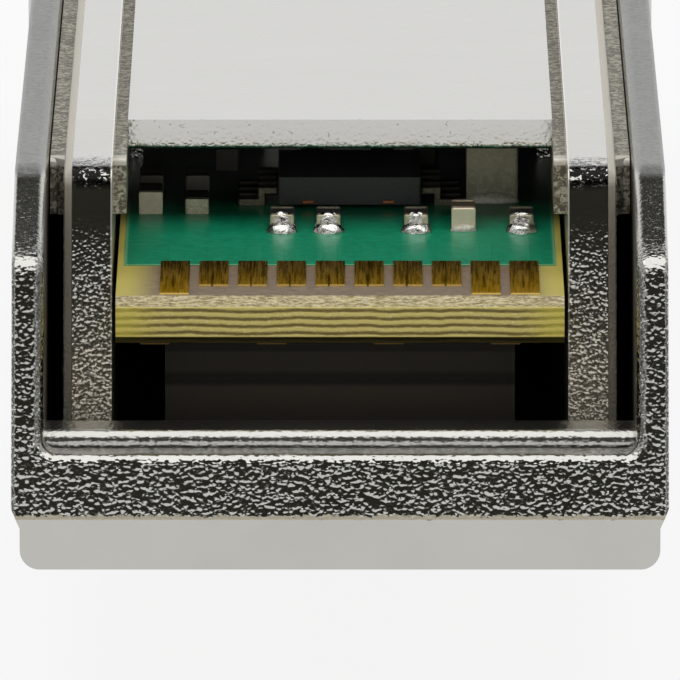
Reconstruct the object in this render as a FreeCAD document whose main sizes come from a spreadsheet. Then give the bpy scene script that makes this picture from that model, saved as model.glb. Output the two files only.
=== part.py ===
"""Copper network transceiver for a pluggable module cage.

The module lies on its label side with the board contacts upward. X runs across the
width, Y from the card edge (minus) to the plug head (plus), Z from the label side up.
The origin is the middle of the base of the whole module.
"""
import FreeCAD, Part
import os
import re
import Sketcher

SIZES = (
    # body
    ("body_width", 13.4, "width of the body inside the cage"),
    ("body_height", 8.5, "height of the body inside the cage"),
    ("shoulder_reach", 45.0, "rear end to latch shoulder"),
    ("stop_gap", 2.5, "latch shoulder to the stop face of the head"),
    ("opening_reach", 10.85, "rear end to the edge of the board opening"),
    # head
    ("head_length", 19.9, "length of the plug head"),
    ("head_ledge", 0.3, "head beyond the sides of the body"),
    ("head_drop", 3.2, "head beyond the label side"),
    ("head_rise", 1.5, "head beyond the board-facing side"),
    ("head_wall", 0.9, "side wall of the head"),
    ("head_floor", 0.8, "label-side wall of the head"),
    ("lid_wall", 0.8, "cover of the head"),
    ("head_radius", 0.25, "outer edges of the head"),
    ("block_depth", 3.0, "solid block behind the stop face"),
    ("passage_clearance", 0.2, "passage for the board through that block"),
    # top shell
    ("skirt_wall", 0.66, "side skirt"),
    ("label_wall", 0.9, "label-side wall"),
    ("ramp_length", 7.0, "lead-in ramp, length"),
    ("ramp_height", 1.27, "lead-in ramp, height at the rear end"),
    ("band_height", 1.05, "smooth upright band of the rear end"),
    ("lean_reach", 1.8, "leaning end of the skirt, set-back at its top"),
    ("lean_height", 4.98, "leaning end of the skirt, height"),
    ("slope_reach", 4.0, "upper slope of the skirt, length"),
    ("sill_height", 3.55, "rear sill above the label side"),
    ("sill_depth", 2.45, "depth of the rear sill"),
    ("bead_start", 1.35, "raised bead of the sill, start"),
    ("bead_rise", 0.3, "raised bead of the sill, height"),
    ("bead_radius", 0.28, "front rounding of the bead"),
    ("sill_cut_width", 0.16, "line along the sill, width"),
    ("sill_cut_depth", 0.14, "line along the sill, depth"),
    ("step_height", 2.0, "inner step behind the sill"),
    ("step_reach", 8.0, "rear end to the end of that step"),
    ("edge_radius", 0.4, "outer long edges of the label side"),
    ("lip_radius", 0.25, "rim of the channel and front lip of the sill"),
    ("sill_corner", 0.25, "corners between sill and skirts"),
    ("skirt_radius", 0.1, "rounded rim of the skirts"),
    ("corner_radius", 0.6, "corner between lean and slope of the skirts"),
    ("bend_radius", 2.0, "gentle bends of the skirts"),
    ("band_taper", 0.1, "upright edges of the rear end"),
    ("band_inset", 0.18, "upright band inside the skirts"),
    ("band_blend", 0.4, "upright band, height of its side step"),
    # bottom shell
    ("shell_gap", 0.34, "slot between skirt and leg"),
    ("leg_wall", 1.0, "inner leg"),
    ("bottom_wall", 0.63, "board-facing wall at the opening"),
    ("latch_wall", 1.3, "board-facing wall under the latch"),
    ("latch_wall_start", 36.0, "rear end to the thicker wall"),
    ("foot_reach", 4.2, "rear end to the foot of the legs"),
    ("foot_height", 3.4, "foot of the legs above the label side"),
    ("leg_lean", 1.8, "lean of the legs"),
    ("leg_crest_drop", 0.1, "crest of the legs below the board-facing side"),
    ("leg_radius", 0.5, "rounding of the crest of the legs"),
    ("leg_chamfer", 0.18, "chamfer along the outer side of the legs"),
    ("web_reach", 8.2, "rear end to the webs beside the legs"),
    ("web_width", 0.27, "webs inside the legs, width"),
    ("web_drop", 0.3, "webs below the board-facing side"),
    ("web_height", 1.1, "webs, height"),
    ("web_lean", 0.4, "webs, lean of their rear face"),
    ("web_clearance", 0.03, "webs to the skirts"),
    ("web_radius", 0.15, "rear edge of the webs"),
    ("bar_radius", 0.08, "lower edge of the board-facing wall"),
    ("rail_reach", 0.5, "board rail, reach inward"),
    ("rail_height", 0.5, "board rail, height"),
    ("rail_start", 18.0, "rear end to the board rails"),
    # board
    ("board_clearance", 0.1, "board to the legs"),
    ("board_thickness", 1.0, "board"),
    ("board_setback", 2.25, "board face to the board-facing side"),
    ("board_recess", 3.2, "rear end to the card edge"),
    ("board_overrun", 2.7, "board beyond the stop face"),
    ("bevel_run", 0.35, "card edge bevel, length"),
    ("bevel_height", 0.2, "card edge bevel, height"),
    ("pad_pitch", 0.8, "contact pads"),
    ("pad_width", 0.6, "contact pads"),
    ("pad_thickness", 0.04, "contact pads"),
    ("pad_end", 3.7, "card edge to the inner end of the pads"),
    ("pad_long_start", 0.38, "card edge to a long pad"),
    ("pad_middle_start", 0.85, "card edge to a middle pad"),
    ("pad_short_start", 1.25, "card edge to a short pad"),
    ("pad_shift", 0.2, "row of pads off the middle"),
    # chips on the upper face
    ("memory_width", 3.0, "memory chip"),
    ("memory_length", 3.0, "memory chip"),
    ("memory_height", 0.6, "memory chip"),
    ("memory_lift", 0.1, "memory chip above the board"),
    ("memory_shift", 0.2, "memory chip off the middle"),
    ("memory_start", 12.5, "rear end to the memory chip"),
    ("lead_width", 0.3, "leads of the memory chip"),
    ("lead_pitch", 0.65, "leads of the memory chip"),
    ("lead_sheet", 0.15, "leads of the memory chip, thickness"),
    ("lead_reach", 0.85, "leads of the memory chip, reach"),
    ("chip_length", 1.0, "small chips"),
    ("chip_width", 0.5, "small chips"),
    ("resistor_height", 0.35, "chip resistors"),
    ("capacitor_height", 0.5, "chip capacitors"),
    ("terminal_length", 0.22, "terminals of the small chips"),
    ("bulk_length", 2.0, "bulk capacitor"),
    ("bulk_width", 1.1, "bulk capacitor"),
    ("bulk_height", 1.25, "bulk capacitor"),
    ("bulk_terminal", 0.4, "terminals of the bulk capacitor"),
    ("bulk_gap", 0.1, "bulk capacitor to the leads of the memory chip"),
    ("layout_width", 9.2, "board width that the chip columns are set out on"),
    ("column_one", 3.97, "chip columns left of the middle"),
    ("column_two", 3.0, "chip columns left of the middle"),
    ("column_three", 2.4, "chip columns left of the middle"),
    ("column_four", 1.21, "chip columns left of the middle"),
    ("column_five", 0.6, "chip columns left of the middle"),
    ("column_six", 0.24, "chip columns left of the middle"),
    ("column_seven", 0.9, "chip columns right of the middle"),
    ("column_eight", 1.59, "chip columns right of the middle"),
    ("column_nine", 1.8, "chip columns right of the middle"),
    ("column_ten", 2.58, "chip columns right of the middle"),
    ("column_eleven", 3.79, "chip columns right of the middle"),
    ("reach_one", 10.15, "rear end to the first row of chips"),
    ("reach_two", 11.9, "rear end to the second row of chips"),
    ("reach_three", 13.2, "rear end to the bulk capacitor"),
    ("reach_four", 13.7, "rear end to the third row of chips"),
    ("reach_five", 16.6, "rear end to the fourth row of chips"),
    ("reach_six", 17.4, "rear end to the fifth row of chips"),
    ("solder_length", 0.34, "solder joint, length"),
    ("solder_width", 0.28, "solder joint, half width"),
    ("solder_height", 0.3, "solder joint, height"),
    ("crystal_start", 20.0, "rear end to the crystal can"),
    ("crystal_length", 2.5, "crystal can"),
    ("crystal_width", 3.2, "crystal can"),
    ("crystal_height", 0.8, "crystal can"),
    ("inductor_start", 23.6, "rear end to the power inductor"),
    ("inductor_size", 3.0, "power inductor"),
    ("inductor_height", 1.2, "power inductor"),
    # parts on the lower face
    ("controller_start", 9.4, "rear end to the controller chip"),
    ("controller_size", 7.3, "controller chip"),
    ("controller_height", 0.9, "controller chip"),
    ("thermal_thickness", 0.5, "thermal pad"),
    ("transformer_start", 32.0, "rear end to the pulse transformer"),
    ("transformer_length", 13.0, "pulse transformer"),
    ("transformer_gap", 0.6, "pulse transformer to the legs"),
    ("transformer_height", 3.6, "pulse transformer"),
    # screws
    ("post_start", 29.4, "rear end to the middle screw"),
    ("post_radius", 1.1, "screw post"),
    ("post_clearance", 0.2, "board hole around the post"),
    ("corner_screw_inset", 1.15, "side of the head to the head screws"),
    ("corner_screw_run", 1.5, "stop face to the head screws"),
    ("screw_radius", 0.5, "screw shank"),
    ("screw_clearance", 0.05, "hole around the shank"),
    ("screw_head_radius", 0.85, "screw head"),
    ("screw_head_height", 0.4, "screw head"),
    ("screw_head_clearance", 0.1, "counterbore around the head"),
    ("screw_grip", 2.0, "shank below the head"),
    ("socket_radius", 0.4, "drive recess of the screws"),
    ("socket_depth", 0.25, "drive recess of the screws"),
    # jack
    ("jack_clearance", 0.06, "jack housing in the head"),
    ("jack_height", 10.2, "jack housing"),
    ("jack_inset", 0.3, "jack housing behind the front rim"),
    ("jack_back", 3.0, "rear wall of the jack housing"),
    ("plug_width", 11.7, "plug socket"),
    ("plug_height", 6.7, "plug socket"),
    ("plug_roof", 0.6, "jack housing above the plug socket"),
    ("tab_width", 6.3, "slot for the plug tab"),
    ("tab_height", 1.5, "slot for the plug tab"),
    ("wire_pitch", 1.02, "jack contacts"),
    ("wire_width", 0.45, "jack contacts"),
    ("wire_sheet", 0.3, "jack contacts, thickness"),
    ("wire_slot", 0.55, "slot for a jack contact"),
    ("wire_nose", 1.6, "jack front to the fold of the contacts"),
    ("wire_dip", 2.5, "tip of the contacts below the socket roof"),
    ("wire_tip", 8.4, "jack front to the tip of the contacts"),
    ("wire_tail", 1.4, "contact tails on the board"),
    ("wire_sink", 0.1, "contacts below the top of the jack housing"),
    ("wire_back", 0.5, "jack rear to the rise of the contacts"),
    ("slot_sink", 0.1, "contact slots below the board"),
    # collar
    ("collar_gap", 0.04, "grounding collar to the stop face"),
    ("collar_sheet", 0.15, "grounding collar, sheet"),
    ("collar_band", 0.6, "grounding collar, closed band"),
    ("collar_length", 2.3, "grounding collar, length"),
    ("collar_bulge", 0.3, "spring fingers, bulge"),
    ("collar_finger", 1.5, "spring fingers, width"),
    ("collar_pitch", 1.9, "spring fingers, pitch"),
    # latch
    ("boss_width", 2.6, "latch boss"),
    ("boss_length", 2.6, "latch boss"),
    ("boss_height", 0.45, "latch boss above the wall"),
    ("boss_flat", 0.8, "flat top of the latch boss"),
    ("slider_sheet", 0.4, "latch slider, sheet"),
    ("slider_width", 7.0, "latch slider"),
    ("slider_clearance", 0.08, "latch slider in its recess"),
    ("slider_sink", 0.1, "latch slider below the wall"),
    ("slider_travel", 0.65, "latch slider, stroke"),
    ("tine_start", 40.4, "rear end to the tips of the tines"),
    ("tine_gap", 1.75, "tines off the middle"),
    ("tine_slot_end", 46.2, "rear end to the end of the tine slot"),
    ("tine_tip", 0.28, "wedge at the tips of the tines"),
    ("ear_length", 1.4, "ears of the slider"),
    ("bail_sheet", 0.5, "bail lever, sheet"),
    ("bail_clearance", 0.05, "bail arm beside the head"),
    ("bail_inset", 0.03, "bail arm inside the head width"),
    ("bail_arm", 2.0, "bail arm, width"),
    ("bail_proud", 0.6, "bail bar in front of the head"),
    ("bail_front_gap", 0.1, "bail bar to the head"),
    ("bail_bar_low", 0.4, "bail bar, lower edge"),
    ("bail_bar_height", 1.5, "bail bar, height"),
    ("bail_finger", 1.55, "finger that drives the slider"),
    ("bail_finger_half", 0.3, "finger that drives the slider, half width"),
    ("pivot_back", 2.6, "head front to the bail pivot"),
    ("pivot_radius", 0.55, "bail pivot"),
    ("pivot_clearance", 0.1, "bail around its pivot"),
    ("recess_back", 3.5, "side recess behind the bail pivot"),
    ("over", 1.0, "cutting tools past the faces they open"),
)

PLACES = (
    ("head_width", "body_width + 2 * head_ledge"),
    ("corner_screw_x", "head_width / 2 - corner_screw_inset"),
    ("overall_length", "shoulder_reach + stop_gap + head_length + bail_proud"),
    ("rear", "-overall_length / 2"),
    ("stop", "rear + shoulder_reach + stop_gap"),
    ("shoulder", "rear + shoulder_reach"),
    ("front", "stop + head_length"),
    ("label_plane", "head_drop"),
    ("contact_plane", "head_drop + body_height"),
    ("head_top", "contact_plane + head_rise"),
    ("lid_plane", "head_top - lid_wall"),
    ("floor_plane", "label_plane + label_wall"),
    ("step_plane", "label_plane + step_height"),
    ("sill_plane", "label_plane + sill_height"),
    ("bead_plane", "sill_plane + bead_rise"),
    ("web_top", "contact_plane - web_drop"),
    ("band_top", "label_plane + ramp_height + band_height"),
    ("leg_outer", "body_width / 2 - skirt_wall - shell_gap"),
    ("leg_inner", "leg_outer - leg_wall"),
    ("leg_foot_y", "rear + foot_reach"),
    ("leg_crest_y", "leg_foot_y + leg_lean"),
    ("leg_crest_z", "contact_plane - leg_crest_drop"),
    ("board_width", "2 * (leg_inner - board_clearance)"),
    ("passage_width", "board_width + 2 * passage_clearance"),
    ("transformer_width", "2 * (leg_inner - transformer_gap)"),
    ("bulk_side", "memory_shift + memory_width / 2 + lead_reach + bulk_gap"),
    ("ceiling", "contact_plane - bottom_wall"),
    ("latch_ceiling", "contact_plane - latch_wall"),
    ("board_top", "contact_plane - board_setback"),
    ("board_under", "board_top - board_thickness"),
    ("board_rear", "rear + board_recess"),
    ("board_end", "stop + board_overrun"),
    ("controller_under", "board_under - controller_height"),
    ("pedestal_top", "controller_under - thermal_thickness"),
    ("post_y", "rear + post_start"),
    ("corner_screw_y", "stop + corner_screw_run"),
    ("bay_rear", "stop + block_depth"),
    ("jack_rear", "bay_rear + jack_clearance"),
    ("jack_front", "front - jack_inset"),
    ("jack_top", "head_floor + jack_height"),
    ("plug_top", "jack_top - plug_roof"),
    ("plug_low", "plug_top - plug_height"),
    ("plug_rear", "jack_rear + jack_back"),
    ("slider_top", "contact_plane - slider_sink"),
    ("slider_under", "slider_top - slider_sheet"),
    ("recess_floor", "slider_under - slider_clearance"),
    ("pivot_y", "front - pivot_back"),
    ("pivot_z", "slider_under + slider_sheet / 2"),
    ("recess_depth", "bail_sheet + bail_clearance + bail_inset"),
    ("recess_rear", "pivot_y - recess_back"),
    ("arm_mid", "head_width / 2 - bail_inset - bail_sheet / 2"),
    ("ear_front", "pivot_y - bail_arm / 2 - pivot_clearance"),
    ("ear_rear", "ear_front - ear_length"),
    ("bar_front", "front + bail_proud"),
    ("bar_rear", "front + bail_front_gap"),
    ("bar_top", "bail_bar_low + bail_bar_height"),
    ("wire_high", "jack_top - wire_sink"),
    ("wire_low", "wire_high - wire_sheet"),
    ("wire_rise", "jack_rear + wire_back"),
    ("wire_front", "jack_front - wire_nose"),
    ("collar_front", "stop - collar_gap"),
    ("collar_rear", "collar_front - collar_length"),
)

doc = FreeCAD.newDocument("Transceiver")
sheet = doc.addObject("Spreadsheet::Sheet", "Sizes")
for row, (alias, size, note) in enumerate(SIZES, start=1):
    sheet.set(f"A{row}", note)
    sheet.set(f"B{row}", str(size))
    sheet.setAlias(f"B{row}", alias)
for row, (alias, formula) in enumerate(PLACES, start=1):
    sheet.set(f"D{row}", "=" + formula)
    sheet.setAlias(f"D{row}", alias)
doc.recompute()

NAME = re.compile(r"[a-z][a-z_]+")
NORMALS = {"YZ": "{0}", "XZ": "-({0})", "XY": "{0}"}
nodes = []


def bound(expression):
    """Expression whose size names point at the sheet."""
    return NAME.sub(lambda found: "Sizes." + found.group(0), expression)


def number(expression):
    """Present value of an expression of sizes."""
    return float(sheet.evalExpression(expression))


def new_body(label):
    """Body that becomes one file of the part."""
    body = doc.addObject("PartDesign::Body", label)
    body.Label = label
    nodes.append(body)
    return body


def new_sketch(body, name, plane, middle):
    """Sketch on a plane of the body's origin, moved along its normal."""
    sketch = body.newObject("Sketcher::SketchObject", name)
    planes = {item.Role: item for item in body.Origin.OriginFeatures}
    sketch.AttachmentSupport = [(planes[plane + "_Plane"], "")]
    sketch.MapMode = "FlatFace"
    sketch.setExpression("AttachmentOffset.Base.z", bound(NORMALS[plane].format(middle)))
    return sketch


def hold(sketch, geometry, end, across, along):
    """Tie a point of a sketch to two expressions."""
    for kind, axis, expression in (("DistanceX", -2, across), ("DistanceY", -1, along)):
        if expression == "0":
            sketch.addConstraint(Sketcher.Constraint("PointOnObject", geometry, end, axis))
            continue
        rule = Sketcher.Constraint(kind, -1, 1, geometry, end, number(expression))
        index = sketch.addConstraint(rule)
        sketch.setExpression(f"Constraints[{index}]", bound(expression))


def polygon(sketch, corners):
    """Closed outline through corners that follow the sheet."""
    spots = [FreeCAD.Vector(number(across), number(along), 0) for across, along in corners]
    lines = []
    for start, finish in zip(spots, spots[1:] + spots[:1]):
        lines.append(sketch.addGeometry(Part.LineSegment(start, finish), False))
    for line, following in zip(lines, lines[1:] + lines[:1]):
        sketch.addConstraint(Sketcher.Constraint("Coincident", line, 2, following, 1))
    for line, (across, along) in zip(lines, corners):
        hold(sketch, line, 1, across, along)


def circle(sketch, across, along, radius):
    """Circle whose middle and radius follow the sheet."""
    spot = FreeCAD.Vector(number(across), number(along), 0)
    shape = Part.Circle(spot, FreeCAD.Vector(0, 0, 1), number(radius))
    ring = sketch.addGeometry(shape, False)
    hold(sketch, ring, 3, across, along)
    index = sketch.addConstraint(Sketcher.Constraint("Radius", ring, number(radius)))
    sketch.setExpression(f"Constraints[{index}]", bound(radius))


def extrude(body, sketch, thickness, cut):
    """Add or take away the sketch, evenly to both sides of its plane."""
    kind = "PartDesign::Pocket" if cut else "PartDesign::Pad"
    feature = body.newObject(kind, sketch.Name + "Body")
    feature.Profile = sketch
    feature.Midplane = True
    feature.setExpression("Length", bound(thickness))
    sketch.Visibility = False
    doc.recompute()
    return feature


def slab(body, name, plane, corners, middle, thickness, cut=False):
    """Outline drawn on a plane and given a thickness."""
    sketch = new_sketch(body, name, plane, middle)
    polygon(sketch, corners)
    return extrude(body, sketch, thickness, cut)


def disc(body, name, plane, spot, radius, middle, thickness, cut=False):
    """Round outline drawn on a plane and given a thickness."""
    sketch = new_sketch(body, name, plane, middle)
    circle(sketch, spot[0], spot[1], radius)
    return extrude(body, sketch, thickness, cut)


def rectangle(left, right, low, high):
    """Corners of a rectangle."""
    return ((left, low), (right, low), (right, high), (left, high))


def rows(body, feature, length, count):
    """Repeat a feature along the normal of its sketch."""
    pattern = body.newObject("PartDesign::LinearPattern", feature.Name + "Row")
    pattern.Originals = [feature]
    pattern.Direction = (feature.Profile[0], ["N_Axis"])
    pattern.setExpression("Length", bound(length))
    pattern.Occurrences = count
    body.Tip = pattern
    doc.recompute()
    return pattern


def edges(body, test):
    """Names of the body's edges that pass a test of their bounds."""
    shape = body.Tip.Shape
    return [f"Edge{index}" for index, edge in enumerate(shape.Edges, start=1) if test(edge.BoundBox)]


def near(value, expression):
    """Whether a coordinate lies at the place an expression gives."""
    return abs(value - number(expression)) < 1e-4


def along_x(box, across, up):
    """Whether bounds are those of an edge along X through a place."""
    straight = box.YLength < 1e-4 and box.ZLength < 1e-4
    return straight and near(box.YMin, across) and near(box.ZMin, up)


def along_y(box, side, up):
    """Whether bounds are those of a pair of edges along Y."""
    straight = box.XLength < 1e-4 and box.ZLength < 1e-4
    return straight and near(abs(box.XMin), side) and near(box.ZMin, up)


def along_z(box, side, across):
    """Whether bounds are those of a pair of edges along Z."""
    straight = box.XLength < 1e-4 and box.YLength < 1e-4
    return straight and near(abs(box.XMin), side) and near(box.YMin, across)


def soften(body, name, chosen, radius, kind="Fillet"):
    """Round or break the chosen edges."""
    before = body.Tip
    feature = body.newObject("PartDesign::" + kind, name)
    feature.Base = (before, chosen)
    feature.setExpression("Size" if kind == "Chamfer" else "Radius", bound(radius))
    body.Tip = feature
    doc.recompute()
    return feature


def box(name, corner, size):
    """Plain block whose corner and size follow the sheet."""
    block = doc.addObject("Part::Box", name)
    for key, expression in zip(("Length", "Width", "Height"), size):
        block.setExpression(key, bound(expression))
    for key, expression in zip("xyz", corner):
        block.setExpression("Placement.Base." + key, bound(expression))
    return block


def gather(label, members):
    """One node made of several separate solids."""
    group = doc.addObject("Part::Compound", label)
    group.Label = label
    group.Links = members
    nodes.append(group)
    doc.recompute()
    return group


# top shell
shell = new_body("top_shell")
lean_top_y = "rear + lean_reach"
lean_top_z = "band_top + lean_height"
slope_top_y = "rear + lean_reach + slope_reach"
slab(shell, "SkirtOutline", "YZ", (
    ("rear + ramp_length", "label_plane"),
    ("bay_rear", "label_plane"),
    ("bay_rear", "contact_plane"),
    (slope_top_y, "contact_plane"),
    (lean_top_y, lean_top_z),
    ("rear", "band_top"),
    ("rear", "label_plane + ramp_height"),
), "0", "body_width")
slab(shell, "HeadOutline", "YZ", rectangle("stop", "front", "0", "lid_plane"), "0", "head_width")
slab(shell, "Channel", "YZ", (
    ("rear - over", "sill_plane"),
    ("rear + bead_start", "sill_plane"),
    ("rear + bead_start", "bead_plane"),
    ("rear + sill_depth", "bead_plane"),
    ("rear + sill_depth", "step_plane"),
    ("rear + step_reach", "step_plane"),
    ("rear + step_reach", "floor_plane"),
    ("stop", "floor_plane"),
    ("stop", "contact_plane + over"),
    ("rear - over", "contact_plane + over"),
), "0", "body_width - 2 * skirt_wall", True)
slab(shell, "Passage", "YZ", rectangle("stop - over", "bay_rear + over", "floor_plane", "lid_plane + over"),
     "0", "passage_width", True)
slab(shell, "JackBay", "YZ", rectangle("bay_rear", "front + over", "head_floor", "lid_plane + over"),
     "0", "head_width - 2 * head_wall", True)
for side, name in (("", "Right"), ("-", "Left")):
    slab(shell, "BailRecess" + name, "YZ",
         rectangle("recess_rear", "front + over", "-over", "lid_plane + over"),
         side + "head_width / 2", "2 * recess_depth", True)
slab(shell, "EarWindow", "YZ",
     rectangle("ear_rear - slider_travel - pivot_clearance", "ear_front + pivot_clearance / 2",
               "recess_floor", "lid_plane + over"),
     "0", "head_width + over", True)
for side, name in (("", "Right"), ("-", "Left")):
    disc(shell, "BailPivot" + name, "YZ", ("pivot_y", "pivot_z"), "pivot_radius",
         side + "(head_width / 2 - recess_depth / 2 - bail_inset)", "recess_depth")
slab(shell, "Pedestal", "YZ",
     rectangle("rear + controller_start", "rear + controller_start + controller_size",
               "floor_plane - label_wall / 2", "pedestal_top"),
     "0", "controller_size")
disc(shell, "ScrewPost", "XY", ("0", "post_y"), "post_radius",
     "(floor_plane - label_wall / 2 + ceiling) / 2", "ceiling - floor_plane + label_wall / 2")
bore = "screw_radius + screw_clearance"
disc(shell, "PostBore", "XY", ("0", "post_y"), bore, "ceiling", "2 * screw_grip + screw_head_height", True)
for side, name in (("", "Right"), ("-", "Left")):
    disc(shell, "CornerBore" + name, "XY", (side + "corner_screw_x", "corner_screw_y"), bore,
         "lid_plane", "2 * screw_grip + screw_head_height", True)
half = "body_width / 2"
rim_inner = "body_width / 2 - skirt_wall"


def on_channel_rim(b):
    """Whether bounds are those of an edge round the mouth of the channel."""
    if b.ZMin < number("sill_plane") - 1e-3 or b.ZMax > number("contact_plane") + 1e-3:
        return False
    if b.XLength < 1e-4:
        level = near(b.ZMin, "contact_plane") and b.YMax < number("stop") + 1e-3
        return near(abs(b.XMin), rim_inner) and b.YLength > 1e-3 and (b.ZLength > 1e-3 or level)
    turn = b.YLength > 1e-3 and b.ZLength > 1e-3 and b.YMax < number("rear + sill_depth")
    front = b.YLength < 1e-4 and b.ZLength < 1e-4 and b.YMax < number("rear + bead_start") - 1e-3
    return turn or front


soften(shell, "SillCorner", edges(shell, lambda b: along_y(b, rim_inner, "sill_plane")), "sill_corner")
soften(shell, "BandTaper", edges(shell, lambda b: along_z(b, half, "rear")), "band_taper", "Chamfer")
soften(shell, "SkirtCorner", edges(shell, lambda b: along_x(b, lean_top_y, lean_top_z)), "corner_radius")
soften(shell, "SkirtBend", edges(shell, lambda b: along_x(b, slope_top_y, "contact_plane")), "bend_radius")
soften(shell, "SkirtRim", edges(shell, lambda b: (
    b.XLength < 1e-4 and near(abs(b.XMin), half) and b.ZMin > number("band_top") - 1e-3
    and b.ZMax < number("contact_plane") + 1e-3 and b.YMax < number("stop") + 1e-3)), "skirt_radius")
soften(shell, "ChannelRim", edges(shell, on_channel_rim), "lip_radius")
for side, name in (("", "Right"), ("-", "Left")):
    slab(shell, "BandStep" + name, "XZ", (
        (side + "(body_width / 2 - band_inset)", "-over"),
        (side + "(body_width / 2 + over)", "-over"),
        (side + "(body_width / 2 + over)", "band_top + band_blend / 2"),
        (side + "(body_width / 2)", "band_top + band_blend / 2"),
        (side + "(body_width / 2 - band_inset)", "band_top - band_blend / 2"),
    ), "(rear + stop - over) / 2", "stop - rear + over", True)
slab(shell, "SillLine", "YZ",
     rectangle("rear + bead_start - sill_cut_width", "rear + bead_start",
               "sill_plane - sill_cut_depth", "sill_plane + bead_rise / 2"),
     "0", "body_width - 2 * skirt_wall", True)
soften(shell, "BeadLip", edges(shell, lambda b: along_x(b, "rear + bead_start", "bead_plane")), "bead_radius")
soften(shell, "LabelEdges", edges(shell, lambda b: (
    b.XLength < 1e-4 and near(b.ZMin, "label_plane")
    and (near(abs(b.XMin), half) or near(abs(b.XMin), "body_width / 2 - band_inset"))
    and b.ZMax < number("label_plane + ramp_height") + 1e-3 and b.YMax < number("stop") + 1e-3)),
       "edge_radius")
soften(shell, "HeadEdges", edges(shell, lambda b: (
    along_y(b, "head_width / 2", "0") or along_z(b, "head_width / 2", "stop"))), "head_radius")

# bottom shell
base = new_body("bottom_shell")
slab(base, "LegOutline", "YZ", (
    ("leg_foot_y", "step_plane"),
    ("rear + step_reach + slider_clearance", "step_plane"),
    ("rear + step_reach + slider_clearance", "floor_plane"),
    ("stop", "floor_plane"),
    ("stop", "contact_plane"),
    ("rear + opening_reach", "contact_plane"),
    ("leg_crest_y", "leg_crest_z"),
    ("leg_foot_y", "label_plane + foot_height"),
), "0", "2 * leg_outer")
slab(base, "BoardBay", "YZ", (
    ("rear", "label_plane"),
    ("stop + over", "label_plane"),
    ("stop + over", "latch_ceiling"),
    ("rear + latch_wall_start", "latch_ceiling"),
    ("rear + latch_wall_start", "ceiling"),
    ("rear + opening_reach", "ceiling"),
    ("rear + opening_reach", "contact_plane + over"),
    ("rear", "contact_plane + over"),
), "0", "2 * leg_inner", True)
slab(base, "Lid", "YZ", rectangle("stop", "front", "lid_plane", "head_top"), "0", "head_width")
slab(base, "LatchBridge", "YZ", rectangle("stop - over", "bay_rear", "latch_ceiling", "contact_plane"),
     "0", "passage_width - 2 * slider_clearance")
slab(base, "StopLip", "YZ", rectangle("stop", "bay_rear", "latch_ceiling", "lid_plane + lid_wall / 2"),
     "0", "passage_width - 2 * slider_clearance")
slider_slot = "slider_width + 2 * slider_clearance"
slab(base, "SliderRecess", "YZ",
     rectangle("rear + tine_start - slider_travel - over", "stop", "recess_floor", "contact_plane + over"),
     "0", slider_slot, True)
slab(base, "SliderSlot", "YZ",
     rectangle("stop - over", "bay_rear + over", "recess_floor", "slider_top + slider_clearance"),
     "0", slider_slot, True)
slab(base, "LatchBoss", "YZ", (
    ("shoulder - boss_length", "recess_floor - bottom_wall / 2"),
    ("shoulder", "recess_floor - bottom_wall / 2"),
    ("shoulder", "contact_plane + boss_height"),
    ("shoulder - boss_flat", "contact_plane + boss_height"),
    ("shoulder - boss_length", "contact_plane - slider_sink"),
), "0", "boss_width")
for side, name in (("", "Right"), ("-", "Left")):
    slab(base, "LidRecess" + name, "YZ",
         rectangle("recess_rear", "front + over", "lid_plane - over", "head_top + over"),
         side + "head_width / 2", "2 * recess_depth", True)
    slab(base, "BoardRail" + name, "YZ",
         rectangle("rear + rail_start", "stop", "board_top", "board_top + rail_height"),
         side + "(leg_inner - rail_reach / 2 + leg_wall / 4)", "rail_reach + leg_wall / 2")
    slab(base, "InnerRelief" + name, "YZ",
         rectangle("rear + opening_reach - over", "stop", "web_top", "contact_plane + over"),
         side + "(leg_inner - web_width / 2)", "web_width", True)
    slab(base, "Web" + name, "YZ",
         (("rear + web_reach - web_lean", "web_top - web_height"), ("stop", "web_top - web_height"),
          ("stop", "web_top"), ("rear + web_reach", "web_top")),
         side + "((leg_inner - web_width + body_width / 2 - skirt_wall - web_clearance) / 2)",
         "body_width / 2 - skirt_wall - web_clearance - leg_inner + web_width")
head_hole = "screw_head_radius + screw_head_clearance"
disc(base, "PostHole", "XY", ("0", "post_y"), bore, "contact_plane", "4 * bottom_wall", True)
disc(base, "PostSink", "XY", ("0", "post_y"), head_hole, "contact_plane", "2 * screw_head_height", True)
for side, name in (("", "Right"), ("-", "Left")):
    spot = (side + "corner_screw_x", "corner_screw_y")
    disc(base, "CornerHole" + name, "XY", spot, bore, "head_top", "4 * lid_wall", True)
    disc(base, "CornerSink" + name, "XY", spot, head_hole, "head_top", "2 * screw_head_height", True)
soften(base, "LegCrest", edges(base, lambda b: along_x(b, "leg_crest_y", "leg_crest_z")), "leg_radius")
soften(base, "LegChamfer", edges(base, lambda b: (
    b.XLength < 1e-4 and near(abs(b.XMin), "leg_outer")
    and b.ZMin > number("label_plane + foot_height") - 1e-3
    and b.YMax < number("rear + opening_reach") + 1e-3
    and b.YLength > 1e-3 and b.ZLength > 1e-3)), "leg_chamfer", "Chamfer")
soften(base, "WebEdge", edges(base, lambda b: along_x(b, "rear + web_reach", "web_top")), "web_radius")
soften(base, "BarEdge", edges(base, lambda b: along_x(b, "rear + opening_reach", "ceiling")), "bar_radius")
soften(base, "LidEdges", edges(base, lambda b: (
    along_z(b, "head_width / 2", "stop") or along_y(b, "head_width / 2", "head_top"))), "head_radius")

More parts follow.
